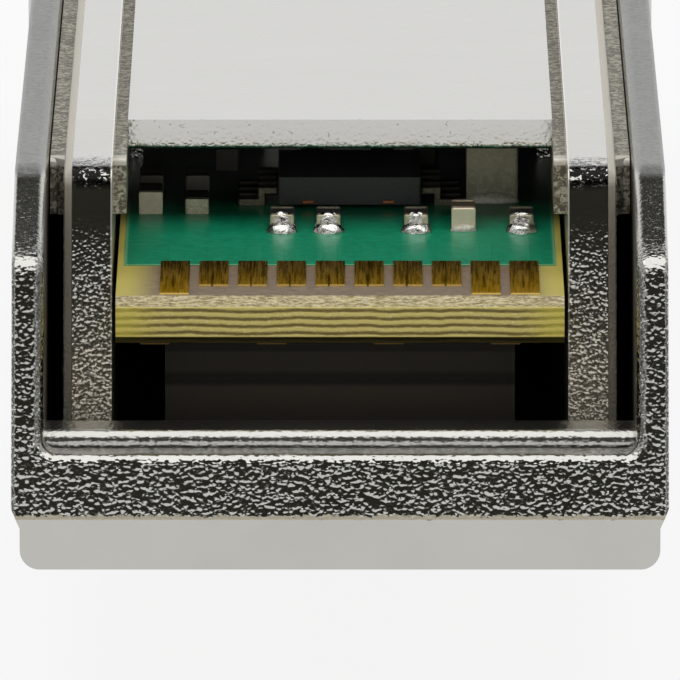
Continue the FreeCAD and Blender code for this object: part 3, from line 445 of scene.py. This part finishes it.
def slots_and_webs(cast):
    """Dull faces in the slots and on the webs beside the legs, mottled dark brown as painted shade, with a
    painted highlight along the lit edge of each web. Gives where they are.
    """
    tree, z = cast.tree, cast.z
    slot = step(tree, cast.side, SLOT_START, SLOT_START + 0.02)
    web = times(tree, between(tree, cast.side, *LEG_WEB, 0.01), between(tree, z, *WEB_HEIGHT, 0.01))
    dull = times(tree, most(tree, slot, web), step(tree, z, LEG_TOP, LEG_TOP - 0.02))
    # painted shade: mottled dark brown in the slots and on the webs
    shade_mottle = blend(tree, ramp(tree, cast.flake, -0.08, 0.14), (0.14, 0.12, 0.085, 1), (0.56, 0.54, 0.43, 1))
    # painted highlight: pale line along the lit edge of each web
    lit_edge = times(tree, between(tree, z, *WEB_EDGE, 0.03), step(tree, cast.y, *WEB_EDGE_START))
    shade_mottle = blend(tree, lit_edge, shade_mottle, (0.72, 0.68, 0.60, 1))
    cast.cover(dull, shade_mottle, rougher=0.35)
    cast.height = raised(tree, cast.flake, dull, cast.height)
    return dull


def nickel_inner():
    """Inner half, with the legs, the webs and slots beside them, and the cross bar."""
    cast = Casting("nickel_inner", 13500.0)
    middle = step(cast.tree, cast.side, LEG_INNER + 0.02, LEG_INNER)
    broken_crests(cast, middle)
    pale = leg_sides_painted_light(cast)
    shade = cross_bar(cast, middle)
    dull = slots_and_webs(cast)
    return cast.finish(most(cast.tree, pale, shade, dull), 0.6)


wear(nickel_outer(), "top_shell")
wear(nickel_inner(), "bottom_shell")


# circuit board
def layered_edge(tree, spot, z, fibre, glint):
    """Colour and height of the board's wavy glass layers, as they show on its edge, with pale glints of
    painted highlight on the light layers.
    """
    sway = noise(tree, stretched(tree, spot, 1.0, 0.05, 0.3), 900.0)
    waved = raised(tree, calc(tree, "SUBTRACT", sway, 0.5), 0.16 * MM, z)
    phase = times(tree, calc(tree, "SUBTRACT", waved, BOARD_UNDER * MM), 2 * math.pi / (BOARD_LAYER * MM))
    layer = raised(tree, calc(tree, "SINE", phase), 0.5, 0.5)
    line = ramp(tree, raised(tree, fibre, 0.9, layer), 0.45, 1.25)
    edge = blend(tree, line, colour(112, 94, 26), colour(228, 210, 118))
    # painted highlight: pale glints on the light layers
    edge = blend(tree, times(tree, line, ramp(tree, glint, 0.56, 0.7)), edge, colour(240, 230, 178))
    return edge, layer


def laminate():
    """Glass laminate: layered edge, mauve contact field, yellow sides, ground bevel with pale sparks of
    painted highlight, and a lower edge painted dark as painted shade.
    """
    material, tree, shader, spot = paint("laminate", roughness=0.42)
    x, y, z = axes(tree, spot)
    fibre = noise(tree, stretched(tree, spot, 0.35, 1.0, 2.0), 16000.0, detail=3.0, rough=0.65)
    glint = noise(tree, stretched(tree, spot, 0.5, 1.0, 1.5), 24000.0, rough=0.7)
    edge, layer = layered_edge(tree, spot, z, fibre, glint)
    flank = step(tree, calc(tree, "ABSOLUTE", x), *YELLOW_FLANK)
    edge = blend(tree, times(tree, flank, 0.55), edge, colour(230, 214, 76))
    top = blend(tree, ramp(tree, fibre, *CLOUD), colour(112, 92, 72), colour(150, 128, 104))
    top = blend(tree, flank, top, colour(214, 198, 98))
    tone = blend(tree, step(tree, z, BOARD_TOP - 0.06, BOARD_TOP - 0.015), edge, top)
    bevel = times(tree, step(tree, z, BOARD_TOP - 0.2, BOARD_TOP - 0.17),
                  step(tree, y, CARD_EDGE + 0.36, CARD_EDGE + 0.30))
    glass = blend(tree, ramp(tree, fibre, 0.36, 0.66), colour(140, 120, 60), colour(230, 214, 160))
    tone = blend(tree, bevel, tone, glass)
    # painted highlight: pale sparks on the ground bevel
    spark_highlights = times(tree, bevel, ramp(tree, glint, 0.5, 0.66), 0.75)
    tone = blend(tree, spark_highlights, tone, colour(236, 228, 204))
    # painted shade: the board's lower edge painted dark
    shaded_lower_edge = step(tree, z, BOARD_UNDER + 0.21, BOARD_UNDER + 0.17)
    tone = blend(tree, times(tree, shaded_lower_edge, 0.9), tone, colour(26, 21, 12))
    tree.links.new(tone, shader.inputs["Base Color"])
    relief(tree, shader, calc(tree, "ADD", layer, fibre), 0.012)
    return material


wear(laminate(), "circuit_board")


def off_pad_middle(tree, x, shift):
    """Distance from the middle of the nearest pad, in pitches."""
    column = calc(tree, "DIVIDE", calc(tree, "SUBTRACT", x, shift * MM), PAD_PITCH * MM)
    part = calc(tree, "FRACT", calc(tree, "ADD", column, 10.0))
    return calc(tree, "ABSOLUTE", calc(tree, "SUBTRACT", part, 0.5))


def gold():
    """Gold plating: fronts painted bright and less metallic as a painted highlight, a drag mark from the
    mating contact on each pad, and lower ends painted dark as painted shade.
    """
    material, tree, shader, spot = paint("gold", specular_tint=(0.74, 0.54, 0.24, 1))
    x, y, z = axes(tree, spot)
    # painted highlight: the fronts of the pads bright and less metallic
    front = times(tree, ramp(tree, facing(tree)[1], -0.5, -0.8), step(tree, z, BOARD_TOP - 0.1, BOARD_TOP),
                  step(tree, y, 0.0, -0.1))
    cloud = noise(tree, stretched(tree, spot, 1.0, 0.3, 1.0), 3600.0, detail=3.0, rough=0.6)
    tone = blend(tree, ramp(tree, cloud, *CLOUD), (0.45, 0.29, 0.075, 1), (0.64, 0.43, 0.13, 1))
    tone = blend(tree, front, tone, (1.0, 0.72, 0.20, 1))
    wobble = times(tree, calc(tree, "SUBTRACT", cloud, 0.5), 0.05)
    off = calc(tree, "ADD", off_pad_middle(tree, x, PAD_SHIFT - 0.03), wobble)
    mark = times(tree, ramp(tree, off, 0.035, 0.02), step(tree, y, DRAG_START, DRAG_START + 0.1),
                 step(tree, y, DRAG_END, DRAG_END - 0.6), 0.85)
    # painted shade: dark lower ends of the pads under the board
    shaded_lower_end = times(tree, step(tree, z, BOARD_UNDER + 0.03, BOARD_UNDER + 0.02),
                      step(tree, y, CARD_EDGE + 0.40, CARD_EDGE + 0.385))
    tone = blend(tree, most(tree, mark, shaded_lower_end), tone, (0.05, 0.032, 0.012, 1))
    tree.links.new(tone, shader.inputs["Base Color"])
    tree.links.new(raised(tree, front, -0.9, 1.0), shader.inputs["Metallic"])
    drag = noise(tree, stretched(tree, spot, 1.0, 0.03, 1.0), 24000.0, detail=3.0, rough=0.6)
    tree.links.new(ramp(tree, drag, *CLOUD, 0.2, 0.36), shader.inputs["Roughness"])
    relief(tree, shader, drag, 0.0004)
    return material


wear(gold(), "contact_pads_upper", "contact_pads_lower", "jack_contacts")


# bodies of the chips, the pad on the controller, and the jack
def moulding(name, dark, light, rough):
    """Finely grained plastic, ceramic or rubber."""
    material, tree, shader, spot = paint(name)
    grain = noise(tree, spot, 26000.0, rough=0.6)
    tree.links.new(blend(tree, ramp(tree, grain, *CLOUD), dark, light), shader.inputs["Base Color"])
    tree.links.new(ramp(tree, grain, *CLOUD, rough, rough + 0.15), shader.inputs["Roughness"])
    relief(tree, shader, grain, 0.006)
    return material


wear(moulding("chip_moulding", (0.036, 0.036, 0.036, 1), (0.056, 0.056, 0.055, 1), rough=0.38),
     "memory_chip", "controller_chip", "pulse_transformer")
wear(moulding("dark_ceramic", (0.012, 0.011, 0.010, 1), (0.030, 0.027, 0.024, 1), rough=0.3),
     "chip_resistors", "power_inductor")
wear(moulding("tan_ceramic", colour(62, 52, 40), colour(80, 68, 54), rough=0.35),
     "chip_capacitors", "bulk_capacitor")
wear(moulding("thermal_pad", colour(70, 67, 60), colour(80, 76, 68), rough=0.7), "thermal_pad")
wear(moulding("jack_plastic", (0.012, 0.012, 0.013, 1), (0.022, 0.022, 0.023, 1), rough=0.4), "jack_housing")


# terminals, leads and solder
def tin(name, dark, light, rough, crust_depth, bright_to, metal=1.0, top_metal=1.0):
    """Tinned metal, painted nearly black from a place along the board onward as painted shade deep inside,
    with tops that may mirror more.
    """
    material, tree, shader, spot = paint(name)
    y = axes(tree, spot)[1]
    tree.links.new(ramp(tree, facing(tree)[2], 0.6, 0.9, metal, top_metal), shader.inputs["Metallic"])
    crust = noise(tree, spot, 9000.0, detail=3.0, rough=0.55, twist=0.8)
    tone = blend(tree, ramp(tree, crust, 0.35, 0.7), dark, light)
    # painted shade: near black from the given place onward, deep under the cover
    deep_shade = step(tree, y, bright_to, bright_to + 0.3, 0.0, 0.93)
    tree.links.new(blend(tree, deep_shade, tone, (0.05, 0.045, 0.035, 1)), shader.inputs["Base Color"])
    tree.links.new(ramp(tree, crust, *CLOUD, rough, rough + 0.15), shader.inputs["Roughness"])
    relief(tree, shader, crust, crust_depth)
    return material


bright_tin = tin("bright_tin", (0.66, 0.65, 0.61, 1), (0.90, 0.89, 0.86, 1),
                 rough=0.10, crust_depth=0.03, bright_to=SHADE_BEYOND_PARTS)
matt_tin = tin("matt_tin", (0.60, 0.57, 0.48, 1), (0.84, 0.81, 0.71, 1),
               rough=0.4, crust_depth=0.012, bright_to=SHADE_BEYOND_PARTS, metal=0.2, top_metal=0.2)
wear(bright_tin, "solder_joints")
# darker, duller tin for the terminals deeper in: partly a matt finish, partly painted shade
wear(tin("dull_tin", (0.52, 0.47, 0.33, 1), (0.78, 0.71, 0.53, 1),
         rough=0.42, crust_depth=0.012, bright_to=CHIP_SHADE_START, metal=0.5), "resistor_terminals")
# painted light: a warm tint that offsets the green light bounced from the mask onto these terminals
wear(tin("satin_tin", (0.92, 0.76, 0.57, 1), (1.0, 0.85, 0.67, 1),
         rough=0.4, crust_depth=0.006, bright_to=CHIP_SHADE_START, metal=0.05), "capacitor_terminals")
# painted shade: darker tin for the bulk capacitor's terminals under the cover
wear(tin("shaded_grey_tin", (0.24, 0.22, 0.16, 1), (0.40, 0.37, 0.28, 1),
         rough=0.42, crust_depth=0.004, bright_to=SHADE_BEYOND_PARTS), "bulk_capacitor_terminals")
# painted shade: dark tin for the memory chip's leads under the cover
wear(tin("shaded_lead_tin", (0.12, 0.11, 0.08, 1), (0.24, 0.22, 0.16, 1),
         rough=0.4, crust_depth=0.008, bright_to=LEAD_SHADE_START), "memory_chip_leads")


def sheet_steel():
    """Rolled or turned steel with fine lines along the part."""
    material, tree, shader, spot = paint("sheet_steel", metallic=1.0)
    rolled = noise(tree, stretched(tree, spot, 1.0, 0.05, 1.0), 14000.0, detail=3.0, rough=0.6)
    tone = blend(tree, rolled, (0.50, 0.50, 0.49, 1), (0.64, 0.635, 0.62, 1))
    tree.links.new(tone, shader.inputs["Base Color"])
    tree.links.new(ramp(tree, rolled, *CLOUD, 0.2, 0.34), shader.inputs["Roughness"])
    relief(tree, shader, rolled, 0.004)
    return material


wear(sheet_steel(), "crystal_can", "grounding_collar", "housing_screws", "bail_lever", "latch_slider")


def plate(name, low, high, material):
    """Thin plate with rounded rims between two corners."""
    corners = [(x * MM, y * MM, z * MM) for z in (low[2], high[2]) for y in (low[1], high[1])
               for x in (low[0], high[0])]
    faces = [(0, 2, 3, 1), (4, 5, 7, 6), (0, 1, 5, 4), (1, 3, 7, 5), (3, 2, 6, 7), (2, 0, 4, 6)]
    mesh = bpy.data.meshes.new(name)
    mesh.from_pydata(corners, [], faces)
    mesh.materials.append(material)
    made = bpy.data.objects.new(name, mesh)
    scene.collection.objects.link(made)
    rim = made.modifiers.new("rim", "BEVEL")
    rim.width = 0.4 * min(b - a for a, b in zip(low, high)) * MM
    rim.segments = 2
    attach(made, "housing")
    return made


def solder_mask():
    """Green lacquer, pale at its thin rims and over the tracks behind the pads, and painted dark under the
    bar as painted shade.
    """
    material, tree, shader, spot = paint("solder_mask", roughness=0.38, coat_weight=0.2, coat_roughness=0.25)
    x, y, _ = axes(tree, spot)
    weave = noise(tree, spot, 5200.0)
    body = blend(tree, ramp(tree, weave, *CLOUD), colour(0, 140, 97), colour(16, 158, 117))
    track = times(tree, ramp(tree, off_pad_middle(tree, x, PAD_SHIFT), 0.2, 0.17),
                  step(tree, y, TRACK_END + 0.1, TRACK_END))
    body = blend(tree, times(tree, track, 0.12), body, colour(44, 160, 116))
    from_side = calc(tree, "SUBTRACT", (BOARD_HALF - MASK_INSET) * MM, calc(tree, "ABSOLUTE", x))
    from_edge = calc(tree, "SUBTRACT", y, MASK_EDGE * MM)
    rim = calc(tree, "MINIMUM", from_side, from_edge)
    body = blend(tree, step(tree, rim, 0.02, 0.09, 1.0, 0.0), body, colour(120, 190, 140))
    # painted shade: the mask darkens under the bar
    shade_under_bar = step(tree, y, *MASK_SHADE, 0.0, 0.85)
    tree.links.new(blend(tree, shade_under_bar, body, colour(24, 30, 22)), shader.inputs["Base Color"])
    relief(tree, shader, raised(tree, weave, 0.25, track), 0.008)
    return material


mask = plate("solder_mask", (-BOARD_HALF + MASK_INSET, MASK_EDGE, BOARD_TOP),
             (BOARD_HALF - MASK_INSET, MASK_END, BOARD_TOP + MASK_THICKNESS), solder_mask())


# solder on the board
def heap(corners, faces, middle, reach, seed):
    """Rounded heap of solder, a dome with a slightly uneven skin."""
    start = len(corners)
    corners.append(tuple(middle))
    for ring in range(HEAP_RINGS):
        lift = ring / HEAP_RINGS * math.pi / 2
        out = math.cos(lift) ** HEAP_FLARE
        up = math.sin(lift) ** HEAP_FULLNESS
        for turn_step in range(HEAP_SIDES):
            turn = turn_step / HEAP_SIDES * 2 * math.pi
            unit = Vector((math.cos(turn) * out, math.sin(turn) * out, up))
            uneven = 1.0 + HEAP_UNEVEN * field.noise(unit * HEAP_BUMPS + Vector((seed, 0, 0)))
            corners.append(tuple(m + u * r * uneven for m, u, r in zip(middle, unit, reach)))
    corners.append((middle[0], middle[1], middle[2] + reach[2]))
    first = start + 1
    summit = first + HEAP_RINGS * HEAP_SIDES
    for here in range(HEAP_SIDES):
        after = (here + 1) % HEAP_SIDES
        faces.append((start, first + after, first + here))
        for ring in range(HEAP_RINGS - 1):
            low = first + ring * HEAP_SIDES
            high = low + HEAP_SIDES
            faces.append((low + here, low + after, high + after, high + here))
        last = summit - HEAP_SIDES
        faces.append((last + here, last + after, summit))


def solder(name, heaps, material):
    """Piece made of several heaps of solder, each with its middle, its reach and its seed."""
    corners = []
    faces = []
    for middle, reach, seed in heaps:
        heap(corners, faces, [m * MM for m in middle], [r * MM for r in reach], seed)
    mesh = bpy.data.meshes.new(name)
    mesh.from_pydata(corners, [], faces)
    mesh.shade_smooth()
    mesh.materials.append(material)
    made = bpy.data.objects.new(name, mesh)
    scene.collection.objects.link(made)
    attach(made, "housing")
    return made


# wetted terminals and fillets of the front row
front_row = []
for place, column in enumerate(JOINT_COLUMNS):
    front_row.append(((column, CHIP_ROW + TERMINAL_SHIFT, BOARD_TOP), TERMINAL_HEAP, place * 7.3))
    front_row.append(((column, CHIP_ROW + FILLET_SHIFT, BOARD_TOP), FILLET_HEAP, place * 3.1 + 40))
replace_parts(solder("solder_fillets", front_row, bright_tin), "solder_joints")

# low fillets of the bulk capacitor and of the capacitor in the front row
solder("chip_fillets", (
    ((BULK_COLUMN, BULK_FOOT, BOARD_TOP), BULK_FILLET, 3.0),
    ((CAPACITOR_COLUMN, CHIP_ROW, BOARD_TOP), CAPACITOR_FILLET, 11.0),
), matt_tin)


def copper():
    """Cut ends of the lead frame."""
    material, tree, shader, spot = paint("copper", metallic=1.0, roughness=0.35)
    cloud = noise(tree, spot, 12000.0)
    tone = blend(tree, cloud, (0.42, 0.13, 0.05, 1), (0.66, 0.24, 0.10, 1))
    tree.links.new(tone, shader.inputs["Base Color"])
    return material


# tie-bar ends in the rear face of the memory chip
chip_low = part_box("memory_chip")[0]
chip_face = chip_low[1] / MM
chip_foot = chip_low[2] / MM
tie_copper = copper()
for place, column in enumerate(TIE_COLUMNS):
    tie = plate(f"tie_bar_{place + 1}", (column - TIE_HALF, chip_face - TIE_PROUD, chip_foot + TIE_HEIGHT[0]),
                (column + TIE_HALF, chip_face + TIE_PROUD, chip_foot + TIE_HEIGHT[1]), tie_copper)

for member, radius in RIM_RADII.items():
    joined = solids[member].modifiers.new("joined", "WELD")
    joined.merge_threshold = WELD_REACH * MM
    rim = solids[member].modifiers.new("rim", "BEVEL")
    rim.width = radius * MM
    rim.segments = 2
    rim.limit_method = "ANGLE"
    rim.angle_limit = RIM_ANGLE


# stage: pale floor and lamp, with their lengths in metres, surrounding light, and the photograph's camera
def stage_floor(reach, drop):
    """Wide floor that camera and mirrors see as nearly white, with the part's shadow on it."""
    mesh = bpy.data.meshes.new("floor")
    mesh.from_pydata([(-reach, -reach, 0), (reach, -reach, 0), (reach, reach, 0), (-reach, reach, 0)],
                     [], [(0, 1, 2, 3)])
    floor = bpy.data.objects.new("floor", mesh)
    floor.location.z = -drop
    scene.collection.objects.link(floor)
    material = bpy.data.materials.new("floor")
    material.use_nodes = True
    tree = material.node_tree
    tree.nodes.clear()
    path = put(tree, "LightPath").outputs
    seen = most(tree, path["Is Camera Ray"], path["Is Glossy Ray"], path["Is Transmission Ray"])
    matt = put(tree, "BsdfDiffuse", {"Color": (0.88, 0.88, 0.875, 1)}).outputs[0]
    glow = put(tree, "Emission", {"Color": (1, 1, 1, 1), "Strength": 1.0}).outputs[0]
    mixed = put(tree, "MixShader", {0: times(tree, seen, 0.86), 1: matt, 2: glow}).outputs[0]
    put(tree, "OutputMaterial", {"Surface": mixed})
    mesh.materials.append(material)


def studio_world():
    """Bright low ring that is dimmer at the sides, a soft dome on either side, and dim warm gaps between."""
    world = bpy.data.worlds.new("studio")
    world.use_nodes = True
    scene.world = world
    tree = world.node_tree
    tree.nodes.clear()
    x, y, z = axes(tree, put(tree, "TexCoord").outputs["Generated"])
    side = calc(tree, "ABSOLUTE", x)
    front_ring = ramp(tree, z, 0.36, 0.25)
    back_ring = ramp(tree, z, 0.52, 0.42)
    ring = put(tree, "Mix", {0: ramp(tree, y, -0.3, 0.3), 2: front_ring, 3: back_ring}).outputs[0]
    ring = times(tree, ring, ramp(tree, side, 0.8, 0.5, 0.22, 1.0))
    dome = times(tree, ramp(tree, z, 0.34, 0.48), ramp(tree, side, 0.34, 0.56, 0.03, 0.55))
    gap_level = 0.027
    path = put(tree, "LightPath").outputs
    level = most(tree, ring, dome, gap_level, path["Is Camera Ray"])
    warmth = blend(tree, ramp(tree, level, 0.04, 0.25), (1.0, 0.99, 0.74, 1), (1, 1, 1, 1))
    glow = put(tree, "Background", {"Color": warmth, "Strength": level}).outputs[0]
    put(tree, "OutputWorld", {"Surface": glow})


def softbox(name, place, aim, width, watts):
    """Square lamp turned to a point."""
    lamp = bpy.data.lights.new(name, "AREA")
    lamp.shape = "RECTANGLE"
    lamp.size = width
    lamp.size_y = width
    lamp.energy = watts
    holder = bpy.data.objects.new(name, lamp)
    holder.location = place
    holder.rotation_mode = "QUATERNION"
    holder.rotation_quaternion = (Vector(aim) - Vector(place)).to_track_quat("-Z", "Y")
    scene.collection.objects.link(holder)


def photograph_camera():
    """Camera that frames the rear mouth as the photograph does."""
    lens = bpy.data.cameras.new("camera")
    camera = bpy.data.objects.new("camera", lens)
    scene.collection.objects.link(camera)
    scene.camera = camera
    lens.sensor_width = SENSOR
    lens.lens = SENSOR * CAMERA_DISTANCE * PIXELS_PER_MM / PICTURE_PIXELS
    lens.clip_start = 0.01
    lens.clip_end = 20.0
    aim = Vector(CAMERA_AIM) * MM
    way = Vector((0, -math.cos(CAMERA_LIFT), math.sin(CAMERA_LIFT)))
    camera.location = aim + way * CAMERA_DISTANCE * MM
    camera.rotation_mode = "QUATERNION"
    camera.rotation_quaternion = (aim - camera.location).to_track_quat("-Z", "Y")


stage_floor(reach=6.0, drop=0.02 * MM)
studio_world()
softbox("overhead", place=(0.0, -0.03, 0.5), aim=(0.0, -0.02, 0.006), width=0.6, watts=1.8)
photograph_camera()
scene.view_settings.view_transform = "Standard"
